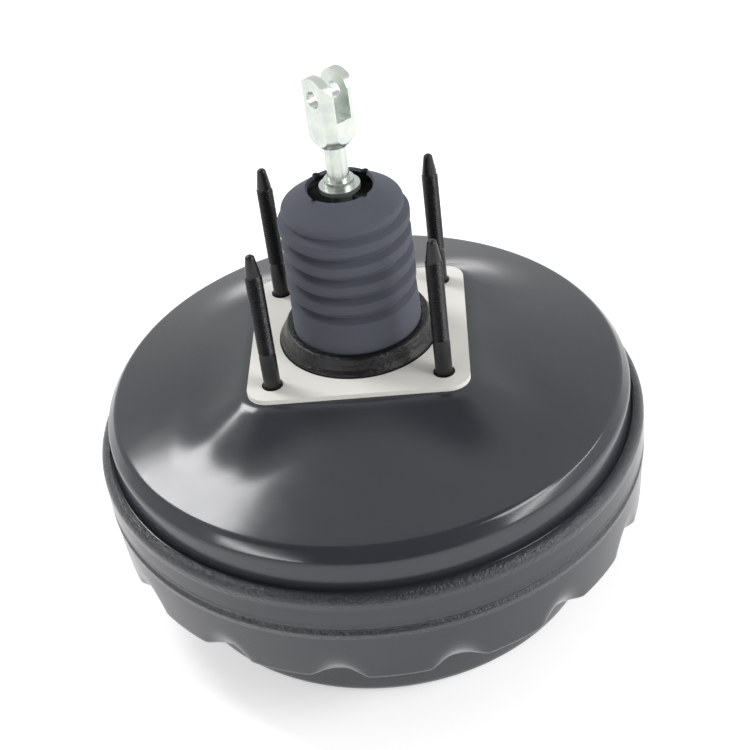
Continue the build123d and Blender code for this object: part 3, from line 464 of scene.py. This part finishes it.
# ---------------------------------------------------------------- shells
@dataclass
class RearShell:
    """Pressed rear shell: neck, raised square pad, shallow cone, side and nested skirt."""

    sheet: float = 1.6
    neck_bore_r: float = 31.5
    neck_top: float = 5.0
    pad_top: float = -2.5
    pad_half_x: float = 54.0
    pad_half_y: float = 52.0
    pad_corner: float = 12.0
    pad_slope: float = 0.5095
    pad_reach: float = 115.0
    pad_edge: float = 3.0
    blend: float = 2.6
    cone_r: float = 48.0
    cone_z: float = -3.8
    edge_r: float = 124.6
    edge_z: float = -24.9
    side_r: float = 129.0
    side_z: float = -31.0
    shoulder: float = 5.0
    flange_z: float = -46.6
    flange_bend: float = 1.5
    skirt_bend: float = 2.2
    skirt_r: float = 133.7
    skirt_end: float = -57.0
    outer_gap: float = 2.2
    inner_gap: float = 2.6
    segments: int = 384

    def cone(self, r: float) -> float:
        """Height of the plain cone at a radius."""
        return self.cone_z + (r - self.cone_r) * (self.edge_z - self.cone_z) / (self.edge_r - self.cone_r)

    def pad(self, x: float, y: float) -> float:
        """Height of the pad's top and flank, with a rounded edge.

        Args:
            x: place along the wider stud spacing.
            y: place along the narrower stud spacing.
        Returns:
            The height of the outer face.
        """
        dx = abs(x) - self.pad_half_x + self.pad_corner
        dy = abs(y) - self.pad_half_y + self.pad_corner
        outside = math.hypot(max(dx, 0.0), max(dy, 0.0)) + min(max(dx, dy), 0.0) - self.pad_corner
        return self.pad_top - self.pad_slope * smooth_max(outside, 0.0, self.pad_edge)

    def shape(self, r: float, z: float, angle: float) -> tuple[float, float]:
        """Lift the dome to the pad where the pad stands above the cone.

        Args:
            r: radius of the point.
            z: height of the point.
            angle: angle of the point round the axis.
        Returns:
            The point's new radius and height.
        """
        if r > self.pad_reach or z < self.edge_z:
            return r, z
        inner = z < self.cone(r) - self.sheet / 2
        drop = self.sheet if inner else 0.0
        high = self.pad(r * math.cos(angle), r * math.sin(angle)) - drop
        if z > self.pad_top + HEIGHT_SLACK:
            return r, z
        return r, min(smooth_max(z, high, self.blend), self.pad_top - drop)

    def outline(self) -> list[Point]:
        """Section of the pressed sheet before the pad is raised.

        Returns:
            Radius and height of each point of the closed outline.
        """
        neck_r = self.neck_bore_r + self.sheet
        outer = [(neck_r, self.neck_top, 0), (neck_r, self.pad_top, 0),
                 (self.cone_r, self.cone_z, 0), (self.edge_r, self.edge_z, self.shoulder),
                 (self.side_r, self.side_z, self.shoulder), (self.side_r, self.flange_z, self.flange_bend),
                 (self.skirt_r, self.flange_z, self.skirt_bend), (self.skirt_r, self.skirt_end, 0)]
        inner = offset(outer, -self.sheet)
        inner[0] = (self.neck_bore_r, self.neck_top, 0)
        inner[1] = (self.neck_bore_r, self.pad_top - self.sheet, 0)
        front = refined(sampled(outer), lambda at: self.outer_gap)
        back = refined(sampled(inner), lambda at: self.inner_gap)
        return (front + back[::-1])[::-1]

    def build(self) -> bpy.types.Object:
        """Make and place the shell.

        Returns:
            The rear shell.
        """
        piece = lathe("rear_shell_skin", self.outline(), self.segments, shape=self.shape)
        place_piece(piece, SHELL_BLACK, "housing", ["rear_shell"])
        return piece


@dataclass
class FrontShell:
    """Front shell: curled lip, rolled groove, fluted corner, ledge, drum and recessed seat."""

    sheet: float = 1.6
    outer_r: float = 135.5
    lip_r: float = 131.0
    lip_z: float = -44.8
    curl: float = 4.0
    groove_z: float = -65.0
    groove_half: float = 2.0
    groove_depth: float = 1.5
    groove_edge: float = 0.8
    lower_r: float = 133.6
    lower_z: float = -97.0
    lower_bend: float = 3.0
    ledge_r: float = 113.6
    ledge_z: float = -106.0
    ledge_bend: float = 6.0
    drum_r: float = 109.1
    drum_bend: float = 8.0
    foot_z: float = -136.0
    foot_in_r: float = 74.0
    seat_r: float = 66.0
    seat_z: float = -112.0
    bend: float = 5.0
    pilot_r: float = 17.0
    flutes: int = 15
    flute_start: float = 22.3
    flute_r: float = 17.0
    flute_rise: float = 10.0
    flute_depth: float = 6.4
    flute_edge: float = 3.6
    flute_clear: float = 2.0
    least_lift: float = 0.02
    fine_from: float = 12.0
    fine_gap: float = 2.1
    coarse_gap: float = 4.5
    cuts_per_flute: int = 23
    back: frozenset[Point] = field(default_factory=frozenset, init=False)

    def shape(self, r: float, z: float, angle: float) -> tuple[float, float]:
        """Press the flutes in: a point inside a flute's round form moves square to its axis.

        Args:
            r: radius of the point.
            z: height of the point.
            angle: angle of the point round the axis.
        Returns:
            The point's new radius and height.
        """
        if r < self.ledge_r or z > self.groove_z - self.groove_half - self.flute_clear:
            return r, z
        pitch = 2 * math.pi / self.flutes
        off = (angle - math.radians(self.flute_start) + pitch / 2) % pitch - pitch / 2
        slope = math.atan2(self.flute_rise, self.flute_depth)
        up = (-math.sin(slope), math.cos(slope))
        axis = (self.lower_r - up[0] * self.flute_r,
                self.lower_z + self.flute_rise - up[1] * self.flute_r)
        height = (r * math.cos(off) - axis[0]) * up[0] + (z - axis[1]) * up[1]
        reach = self.flute_r + (self.sheet if (r, z) in self.back else 0.0)
        form = reach ** 2 - (r * math.sin(off)) ** 2
        if form <= 0:
            return r, z
        lift = smooth_max(height, math.sqrt(form), self.flute_edge) - height
        if lift < self.least_lift:
            return r, z
        return r + lift * up[0], z + lift * up[1]

    def gap(self, at: Point) -> float:
        """Longest run wanted at a place: short where the flutes are pressed in."""
        fluted = at[0] > self.ledge_r and at[1] < self.groove_z - self.fine_from
        return self.fine_gap if fluted else self.coarse_gap

    def outline(self) -> list[Point]:
        """Section of the pressed sheet before the flutes are pressed in.

        Returns:
            Radius and height of each point of the closed outline.
        """
        groove_r = self.outer_r - self.groove_depth
        outer = [(self.lip_r, self.lip_z, 0), (self.outer_r, self.lip_z, self.curl),
                 (self.outer_r, self.groove_z + self.groove_half, self.groove_edge),
                 (groove_r, self.groove_z, self.groove_edge),
                 (self.outer_r, self.groove_z - self.groove_half, self.groove_edge),
                 (self.lower_r, self.lower_z, self.lower_bend), (self.ledge_r, self.ledge_z, self.ledge_bend),
                 (self.drum_r, self.foot_z, self.drum_bend), (self.foot_in_r, self.foot_z, self.bend),
                 (self.seat_r, self.seat_z, self.bend), (self.pilot_r, self.seat_z, 0)]
        front = refined(sampled(outer), self.gap)
        back = refined(sampled(offset(outer, -self.sheet)), self.gap)
        self.back = frozenset(back)
        return (front + back[::-1])[::-1]

    def build(self) -> bpy.types.Object:
        """Make and place the shell.

        Returns:
            The front shell.
        """
        segments = self.flutes * self.cuts_per_flute
        piece = lathe("front_shell_skin", self.outline(), segments, shape=self.shape)
        place_piece(piece, RIM_BLACK, "housing", ["front_shell"])
        return piece


# ---------------------------------------------------------------- boot and its retainer
@dataclass(frozen=True)
class Wave:
    """Slight waviness of moulded rubber, round the boot and up its height."""

    lobes: int
    climb: float
    phase: float
    height: float

    def at(self, angle: float, z: float) -> float:
        """Height of the wave at an angle and a height on the boot."""
        return math.sin(self.lobes * angle + self.climb * z + self.phase) * self.height


@dataclass
class Boot:
    """Folded dust boot and the pressed ring that holds its foot."""

    wall: float = 1.6
    crest_r: float = 30.8
    groove_r: float = 26.9
    foot_z: float = 6.5
    bead_t: float = 1.5
    plain_top: float = 24.6
    pitch: float = 10.4
    groove_at: float = 0.22
    crest_at: float = 0.55
    folds: int = 5
    fold_edge: float = 2.0
    groove_edge: float = 0.5
    lip_edge: float = 0.9
    shoulder: float = 3.0
    cap_in: float = 0.6
    cap_top: float = 81.5
    hole_r: float = 16.0
    vents: int = 4
    vent_r: float = 1.6
    fade_low: float = 15.0
    fade_high: float = 8.0
    waves: tuple[Wave, ...] = (Wave(2, 0.21, 0.0, 0.20), Wave(3, -0.13, 1.0, 0.12))
    wave_sink: float = 0.33
    sag: Wave = Wave(2, 0.0, 0.8, 0.30)
    longest: float = 2.0
    segments: int = 192
    crease_deg: float = 50.0
    ring_r: float = 38.2
    ring_flare: float = 1.8
    ring_flare_z: float = 1.2
    ring_lip_r: float = 34.4
    ring_top: float = 8.4
    ring_foot: float = -2.5
    ring_wall: float = 1.5
    ring_bend: float = 1.6
    lip_gap: float = 0.35
    squashed: float = 0.61

    def outline(self) -> list[Point]:
        """Section of the folded wall, the outer side first.

        Returns:
            Radius and height of each point of the closed outline.
        """
        outer: list[Corner] = [(self.crest_r, self.foot_z - self.bead_t, 0),
                               (self.crest_r, self.plain_top, self.lip_edge)]
        for i in range(self.folds):
            low = self.plain_top + i * self.pitch
            outer.append((self.groove_r, low + self.groove_at * self.pitch, self.groove_edge))
            if i < self.folds - 1:
                outer += [(self.crest_r, low + self.crest_at * self.pitch, self.fold_edge),
                          (self.crest_r, low + self.pitch, self.lip_edge)]
            else:
                outer.append((self.crest_r - self.cap_in, low + self.crest_at * self.pitch, self.shoulder))
        outer.append((self.hole_r, self.cap_top, 0))
        inner = offset(outer, self.wall)
        return sampled(outer) + sampled(inner)[::-1]

    def wrinkle(self, r: float, z: float, angle: float) -> tuple[float, float]:
        """Slight unevenness of the moulded folds, and the vents at the hole.

        Args:
            r: radius of the point.
            z: height of the point.
            angle: angle of the point round the axis.
        Returns:
            The point's new radius and height.
        """
        share = (min(max((z - self.ring_top) / self.fade_low, 0.0), 1.0)
                 * min(max((self.cap_top - z) / self.fade_high, 0.0), 1.0))
        wave = sum(part.at(angle, z) for part in self.waves)
        pitch = 2 * math.pi / self.vents
        off = angle % pitch - pitch / 2
        bite = self.vent_r ** 2 - (self.hole_r * math.sin(off)) ** 2
        if bite > 0 and r < self.hole_r + 2 * self.vent_r:
            r = max(r, self.hole_r * math.cos(off) + math.sqrt(bite))
        return r + (wave - self.wave_sink) * share, z + self.sag.at(angle, z) * share

    def build(self) -> bpy.types.Object:
        """Make and place the boot and its ring, both fixed to the housing.

        Returns:
            The boot.
        """
        loop = self.outline()
        loop = refined(loop + loop[:1], lambda at: self.longest)[:-1]
        boot = lathe("dust_boot_skin", loop, self.segments, shape=self.wrinkle, crease_deg=self.crease_deg)
        place_piece(boot, BOOT, "housing", ["dust_boot"])
        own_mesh(boot)
        wall_r = self.ring_r - self.ring_flare
        path = [(self.ring_r, self.ring_foot, 0), (self.ring_r, self.ring_flare_z, self.ring_bend),
                (wall_r, self.ring_flare_z + self.ring_flare, self.ring_bend),
                (self.ring_lip_r, self.ring_top, self.ring_bend),
                (self.crest_r + self.lip_gap, self.ring_top, 0)]
        section = sampled(path) + sampled(offset(path, self.ring_wall))[::-1]
        ring = lathe("boot_retainer_ring", section, self.segments)
        place_piece(ring, RING_BLACK, "housing", ["boot_retainer"])
        return boot


# ---------------------------------------------------------------- studs
@dataclass
class Studs:
    """Firewall studs, one threaded stud repeated at the corners of the pattern."""

    spacing_x: float = 80.0
    spacing_y: float = 76.0
    thread_r: float = 4.0
    root_r: float = 3.45
    pitch: float = 1.25
    foot: float = -9.1
    head_top: float = -6.1
    head_r: float = 7.0
    neck_r: float = 4.4
    thread_low: float = 18.0
    top: float = 72.0
    point: float = 11.0
    point_r: float = 2.2
    nose: float = 1.6
    point_step: float = 1.4
    run_in: float = 1.0
    axis_r: float = 0.01
    nose_turns: tuple[float, ...] = (25, 50, 70, 89.5)
    levels_per_turn: int = 4
    segments: int = 20
    crease_deg: float = 50.0

    def stud(self) -> bpy.types.Object:
        """One stud on the axis, with a helical thread above its plain shank.

        Returns:
            The stud, which is only a pattern for the node tree.
        """
        quarters = self.levels_per_turn
        steps = int((self.top - self.point - self.thread_low) / self.pitch * quarters)
        verts: list[tuple[float, float, float]] = []
        levels: list[Callable[[int], Point]] = []
        plain = [(self.axis_r, self.foot), (self.head_r, self.foot), (self.head_r, self.head_top),
                 (self.neck_r, self.head_top), (self.neck_r, 0.0), (self.thread_r, 0.0),
                 (self.thread_r, self.thread_low - self.run_in)]
        levels += [lambda k, p=p: p for p in plain]
        flank_r = (self.root_r + self.thread_r) / 2
        cycle = (self.root_r, flank_r, self.thread_r, flank_r)
        for i in range(steps):
            levels.append(lambda k, i=i: (cycle[i % quarters], self.thread_low
                                          + (i / quarters + k / self.segments) * self.pitch))
        ends = [(self.root_r, self.top - self.point + self.point_step), (self.point_r, self.top - self.nose)]
        ends += [(self.point_r * math.cos(turn), self.top - self.nose * (1 - math.sin(turn)))
                 for turn in map(math.radians, self.nose_turns)]
        levels += [lambda k, p=p: p for p in ends]
        for level in levels:
            for k in range(self.segments):
                r, z = level(k)
                angle = 2 * math.pi * k / self.segments
                verts.append((r * math.cos(angle), r * math.sin(angle), z))
        n = self.segments
        faces = [(i * n + k, i * n + (k + 1) % n, (i + 1) * n + (k + 1) % n, (i + 1) * n + k)
                 for i in range(len(levels) - 1) for k in range(n)]
        faces += [tuple(range(n))[::-1], tuple(range((len(levels) - 1) * n, len(levels) * n))]
        return mesh_piece("stud_pattern", verts, faces, self.crease_deg)

    def tree(self, stud: bpy.types.Object) -> bpy.types.NodeTree:
        """Node tree that sets the stud at the four corners of a rectangle.

        Args:
            stud: the stud that is repeated.
        Returns:
            The tree, with the two spacings as its inputs.
        """
        group = bpy.data.node_groups.new("stud_rectangle", "GeometryNodeTree")
        for name, size in (("Spacing X", self.spacing_x), ("Spacing Y", self.spacing_y)):
            socket = group.interface.new_socket(name, in_out="INPUT", socket_type="NodeSocketFloat")
            socket.default_value = size * MM
        group.interface.new_socket("Geometry", in_out="OUTPUT", socket_type="NodeSocketGeometry")
        nodes, links = group.nodes, group.links
        entry = nodes.new("NodeGroupInput")
        grid = nodes.new("GeometryNodeMeshGrid")
        grid.inputs["Vertices X"].default_value = 2
        grid.inputs["Vertices Y"].default_value = 2
        source = nodes.new("GeometryNodeObjectInfo")
        source.inputs["Object"].default_value = stud
        spread = nodes.new("GeometryNodeInstanceOnPoints")
        real = nodes.new("GeometryNodeRealizeInstances")
        paint = nodes.new("GeometryNodeSetMaterial")
        paint.inputs["Material"].default_value = STUD_BLACK.build()
        leave = nodes.new("NodeGroupOutput")
        links.new(entry.outputs["Spacing X"], grid.inputs["Size X"])
        links.new(entry.outputs["Spacing Y"], grid.inputs["Size Y"])
        links.new(grid.outputs["Mesh"], spread.inputs["Points"])
        links.new(source.outputs["Geometry"], spread.inputs["Instance"])
        links.new(spread.outputs["Instances"], real.inputs["Geometry"])
        links.new(real.outputs["Geometry"], paint.inputs["Geometry"])
        links.new(paint.outputs["Geometry"], leave.inputs["Geometry"])
        return group

    def build(self) -> bpy.types.Object:
        """Make the four studs as one plain mesh.

        Returns:
            The studs.
        """
        stud = self.stud()
        carrier = bpy.data.objects.new("stud_carrier", bpy.data.meshes.new("stud_carrier"))
        bpy.context.scene.collection.objects.link(carrier)
        modifier = carrier.modifiers.new("studs", "NODES")
        modifier.node_group = self.tree(stud)
        sizes = {"Spacing X": self.spacing_x, "Spacing Y": self.spacing_y}
        for socket in modifier.node_group.interface.items_tree:
            if socket.name in sizes:
                modifier[socket.identifier] = sizes[socket.name] * MM
        ready = carrier.evaluated_get(bpy.context.evaluated_depsgraph_get())
        mesh = bpy.data.meshes.new_from_object(ready)
        carrier.modifiers.remove(modifier)
        bpy.data.objects.remove(carrier)
        bpy.data.objects.remove(stud)
        mesh.name = "firewall_stud_set"
        studs = bpy.data.objects.new("firewall_stud_set", mesh)
        bpy.context.scene.collection.objects.link(studs)
        place_piece(studs, STUD_BLACK, "housing", ["firewall_studs"])
        return studs


# ---------------------------------------------------------------- carried-over solids
@dataclass
class Solids:
    """Solids that keep their own shape and only get a finish."""

    finishes: dict[str, Finish] = field(default_factory=lambda: {
        "gasket_fibre": GASKET, "black_shell": SHELL_BLACK, "black_steel": STUD_BLACK, "boot_rubber": BOOT,
        "seal_rubber": SEAL, "plated_steel": STEEL, "zinc_steel": ZINC, "spring_steel": SPRING,
        "valve_plastic": VALVE_PLASTIC, "black_plastic": BLACK_PLASTIC, "white_plastic": WHITE_PLASTIC,
        "filter_foam": FOAM})

    def build(self, frame: dict[str, Any]) -> None:
        """Dress each solid by its slot in the record.

        Args:
            frame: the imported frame, with its record and its nodes.
        """
        for entry in frame["record"]["subparts"]:
            node = frame["nodes"][entry["node"]]
            dress(node, self.finishes[entry["material_slot"]])
            LOG.info("dressed %s", entry["node"])


# ---------------------------------------------------------------- studio
@dataclass(frozen=True)
class SoftBox:
    """Area lamp: its place and size in metres, and its power."""

    name: str
    place: tuple[float, float, float]
    size: Point
    watts: float

    def build(self, target: Vector) -> bpy.types.Object:
        """Make the lamp, aimed at a target.

        Args:
            target: point that it faces.
        Returns:
            The lamp.
        """
        data = bpy.data.lights.new(self.name, "AREA")
        data.shape = "RECTANGLE"
        data.size, data.size_y = self.size
        data.energy = self.watts
        lamp = bpy.data.objects.new(self.name, data)
        lamp.location = self.place
        lamp.rotation_euler = (target - Vector(self.place)).to_track_quat("-Z", "Y").to_euler()
        bpy.context.scene.collection.objects.link(lamp)
        return lamp


@dataclass
class Studio:
    """Camera, floor, lamps and world."""

    lens_mm: float = 71.9
    sensor_mm: float = 36.0
    distance: float = 0.725
    elevation: float = 35.46
    roll: float = -7.71
    turn: float = 5.34
    shift: Point = (0.02107, -0.0601)
    near_clip: float = 0.01
    floor_z: float = -0.136
    floor_size: float = 6.0
    floor_base: float = 0.8
    floor_glow: float = 0.50
    world_level: float = 0.86
    dark_side: tuple[float, float, float] = (0.05, -0.62, 0.78)
    dark_edges: Point = (0.55, 0.80)
    dark_level: float = 0.12
    aim: tuple[float, float, float] = (0, 0, -0.03)
    lamps: tuple[SoftBox, ...] = (
        SoftBox("key_box", (-0.805, 0.535, 1.100), (0.36, 0.62), 9.5),
        SoftBox("left_strip", (-0.95, -1.00, 0.40), (0.80, 0.07), 3.0),
        SoftBox("right_strip", (1.35, -0.30, 0.45), (1.30, 0.08), 5.0),
        SoftBox("fill_box", (1.15, -0.55, 0.85), (0.6, 0.5), 9.0))

    def camera(self) -> bpy.types.Object:
        """Camera aimed at the firewall face's centre, rolled as the object leans.

        Returns:
            The scene's camera.
        """
        e, roll, turn = (math.radians(a) for a in (self.elevation, self.roll, self.turn))
        forward = Vector((0, math.cos(e), -math.sin(e)))
        right = Vector((1, 0, 0))
        up = right.cross(forward)
        across = right * math.cos(roll) + up * math.sin(roll)
        above = up * math.cos(roll) - right * math.sin(roll)
        axes = Matrix((across, above, -forward)).transposed()
        spin = Matrix.Rotation(turn, 3, "Z")
        data = bpy.data.cameras.new("camera")
        data.lens = self.lens_mm
        data.sensor_width = self.sensor_mm
        data.shift_x, data.shift_y = self.shift
        data.clip_start = self.near_clip
        camera = bpy.data.objects.new("camera", data)
        stand = Matrix.Translation(spin @ (-forward * self.distance))
        camera.matrix_world = stand @ (spin @ axes).to_4x4()
        bpy.context.scene.collection.objects.link(camera)
        bpy.context.scene.camera = camera
        return camera

    def floor_paint(self) -> bpy.types.Material:
        """Matt paint that looks near white and still takes the object's shadow.

        Returns:
            The floor's material.
        """
        material = bpy.data.materials.new("floor_white")
        material.use_nodes = True
        tree = material.node_tree
        shader = tree.nodes["Principled BSDF"]
        shader.inputs["Base Color"].default_value = (*[self.floor_base] * 3, 1)
        shader.inputs["Roughness"].default_value = 1.0
        shader.inputs["Specular IOR Level"].default_value = 0.0
        shader.inputs["Emission Color"].default_value = (1, 1, 1, 1)
        shader.inputs["Emission Strength"].default_value = self.floor_glow
        return material

    def world(self) -> None:
        """Light all round, with a dark wall behind the camera."""
        world = bpy.data.worlds.new("studio")
        bpy.context.scene.world = world
        world.use_nodes = True
        tree = world.node_tree
        place = tree.nodes.new("ShaderNodeTexCoord").outputs["Generated"]
        facing = tree.nodes.new("ShaderNodeVectorMath")
        facing.operation = "DOT_PRODUCT"
        tree.links.new(place, facing.inputs[0])
        facing.inputs[1].default_value = Vector(self.dark_side).normalized()
        ramp = tree.nodes.new("ShaderNodeValToRGB")
        ramp.color_ramp.interpolation = "EASE"
        levels = (1.0, self.dark_level)
        for element, position, level in zip(ramp.color_ramp.elements, self.dark_edges, levels):
            element.position = position
            element.color = (level, level, level, 1)
        tree.links.new(facing.outputs["Value"], ramp.inputs["Fac"])
        shade = tree.nodes["Background"]
        tree.links.new(ramp.outputs["Color"], shade.inputs["Color"])
        shade.inputs["Strength"].default_value = self.world_level

    def floor(self) -> None:
        """Lay the floor under the drum."""
        half = self.floor_size / 2
        corners = [(x * half, y * half, self.floor_z) for x, y in ((-1, -1), (1, -1), (1, 1), (-1, 1))]
        mesh = bpy.data.meshes.new("floor")
        mesh.from_pydata(corners, [], [(0, 1, 2, 3)])
        floor = bpy.data.objects.new("floor", mesh)
        bpy.context.scene.collection.objects.link(floor)
        floor.data.materials.append(self.floor_paint())

    def build(self) -> None:
        """Set up the studio."""
        self.floor()
        self.world()
        for lamp in self.lamps:
            lamp.build(Vector(self.aim))
        self.camera()
        bpy.context.scene.view_settings.view_transform = "Standard"


def main() -> None:
    """Build the whole scene."""
    logging.basicConfig(level=logging.INFO, format="%(message)s")
    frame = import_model()
    Studio().build()
    Solids().build(frame)
    for part in (RearShell(), FrontShell(), Boot(), Studs()):
        part.build()


if __name__ == "__main__":
    main()
